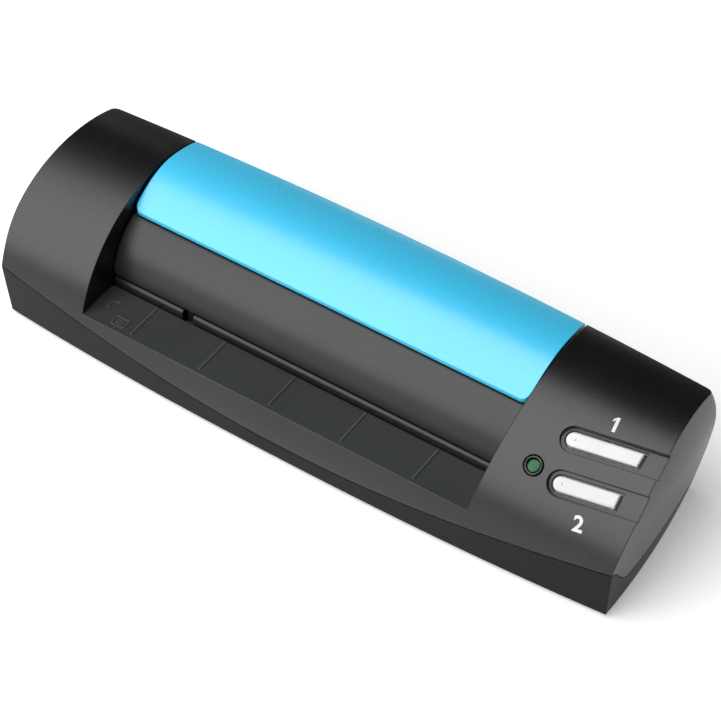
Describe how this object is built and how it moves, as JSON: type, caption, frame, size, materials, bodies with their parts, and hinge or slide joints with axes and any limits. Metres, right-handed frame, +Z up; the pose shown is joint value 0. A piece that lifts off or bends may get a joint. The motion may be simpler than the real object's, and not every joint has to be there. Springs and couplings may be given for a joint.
{
  "type": "business card scanner",
  "caption": "Desktop business card scanner with a barrel-shaped black case, a blue cover over the front feed recess, motor driven rollers, and two push buttons on the right shoulder.",
  "frame": {"origin": "middle of the footprint, on the surface that the feet stand on", "axes": "+X to the right along the length, -Y towards the feed recess, +Z up"},
  "size_m": [0.155, 0.0472, 0.0334],
  "materials": {
    "case_black": "satin with a fine texture",
    "guide_grey": "satin with a fine texture",
    "cover_blue": "satin gloss",
    "key_silver": "satin gloss",
    "rubber_black": "matte",
    "steel": "satin",
    "nylon": "satin",
    "board_green": "satin lacquer",
    "glass": "polished",
    "lamp_green": "polished and translucent",
    "white_plastic": "satin"
  },
  "bodies": {
    "case": {"base_shell": "case_black", "top_case": "case_black", "top_cover": "cover_blue", "card_guide": "guide_grey", "backing_strip": "white_plastic", "upper_guide": "guide_grey", "feed_bush_left": "nylon", "feed_bush_right": "nylon", "exit_bush_left": "nylon", "exit_bush_right": "nylon", "left_plate": "steel", "right_plate": "steel", "motor_bracket": "steel", "motor": "steel", "link_pin": "steel", "compound_pin": "steel", "flag_pin": "steel", "flag_board": "board_green", "light_barrier": "case_black", "button_1_switch": "case_black", "button_2_switch": "case_black", "key_board": "board_green", "lamp_ring": "case_black", "lamp_lens": "lamp_green", "lamp_body": "white_plastic", "main_board": "board_green", "cable_inlet": "steel", "ribbon_socket": "white_plastic", "sensor_spring_left": "steel", "sensor_spring_right": "steel", "foot_1": "rubber_black", "foot_2": "rubber_black", "foot_3": "rubber_black", "foot_4": "rubber_black"},
    "feed_roller": {"feed_axle": "steel", "feed_tyre_left": "rubber_black", "feed_tyre_right": "rubber_black", "feed_gear": "nylon"},
    "exit_roller": {"exit_axle": "steel", "exit_tyre_left": "rubber_black", "exit_tyre_right": "rubber_black", "exit_gear": "nylon"},
    "link_wheel": {"link_gear": "nylon"},
    "compound_wheel": {"compound_gear": "nylon"},
    "motor_rotor": {"motor_shaft": "steel", "motor_pinion": "nylon"},
    "front_pinch_roller": {"front_pinch_axle": "steel", "front_pinch_wheel_left": "nylon", "front_pinch_wheel_right": "nylon"},
    "rear_pinch_roller": {"rear_pinch_axle": "steel", "rear_pinch_wheel_left": "nylon", "rear_pinch_wheel_right": "nylon"},
    "sensor_module": {"sensor_housing": "case_black", "sensor_glass": "glass", "sensor_board": "board_green"},
    "flag": {"card_flag": "nylon"},
    "key_1": {"button_1": "key_silver", "button_1_plunger": "case_black"},
    "key_2": {"button_2": "key_silver", "button_2_plunger": "case_black"}
  },
  "joints": [
    {"name": "feed_spin", "type": "hinge", "parent": "case", "child": "feed_roller", "pos_m": [0, -0.0042, 0.01], "axis": [-1, 0, 0], "continuous": true},
    {"name": "exit_spin", "type": "hinge", "parent": "case", "child": "exit_roller", "pos_m": [0, 0.0114, 0.01], "axis": [-1, 0, 0], "continuous": true},
    {"name": "link_spin", "type": "hinge", "parent": "case", "child": "link_wheel", "pos_m": [0, 0.0036, 0.01], "axis": [-1, 0, 0], "continuous": true},
    {"name": "compound_spin", "type": "hinge", "parent": "case", "child": "compound_wheel", "pos_m": [0, -0.0004, 0.01715], "axis": [-1, 0, 0], "continuous": true},
    {"name": "motor_spin", "type": "hinge", "parent": "case", "child": "motor_rotor", "pos_m": [0, 0.00877, 0.01268], "axis": [-1, 0, 0], "continuous": true},
    {"name": "front_pinch_spin", "type": "hinge", "parent": "case", "child": "front_pinch_roller", "pos_m": [0, -0.0042, 0.0184], "axis": [-1, 0, 0], "continuous": true},
    {"name": "rear_pinch_spin", "type": "hinge", "parent": "case", "child": "rear_pinch_roller", "pos_m": [0, 0.0114, 0.0184], "axis": [-1, 0, 0], "continuous": true},
    {"name": "sensor_lift", "type": "slide", "parent": "case", "child": "sensor_module", "axis": [0, 0, 1], "range_m": [0, 0.0008], "stiffness_N_per_m": 300, "springref_m": -0.001, "deforming": ["sensor_spring_left", "sensor_spring_right"]},
    {"name": "flag_tilt", "type": "hinge", "parent": "case", "child": "flag", "pos_m": [0, -0.0088, 0.0095], "axis": [-1, 0, 0], "range_deg": [0, 22], "stiffness_Nm_per_rad": 0.0004, "springref_deg": -17.19},
    {"name": "button_1_press", "type": "slide", "parent": "case", "child": "key_1", "axis": [0, 0.5592, -0.8291], "range_m": [0, 0.0007], "stiffness_N_per_m": 300, "springref_m": -0.0005},
    {"name": "button_2_press", "type": "slide", "parent": "case", "child": "key_2", "axis": [0, 0.5592, -0.8291], "range_m": [0, 0.0007], "stiffness_N_per_m": 300, "springref_m": -0.0005}
  ],
  "couplings": [
    {"joint": "exit_spin", "follows": "feed_spin", "ratio": 1},
    {"joint": "link_spin", "follows": "feed_spin", "ratio": -1.8889},
    {"joint": "compound_spin", "follows": "feed_spin", "ratio": -1.7},
    {"joint": "motor_spin", "follows": "feed_spin", "ratio": 4.7222},
    {"joint": "front_pinch_spin", "follows": "feed_spin", "ratio": -1.7},
    {"joint": "rear_pinch_spin", "follows": "feed_spin", "ratio": -1.7}
  ]
}
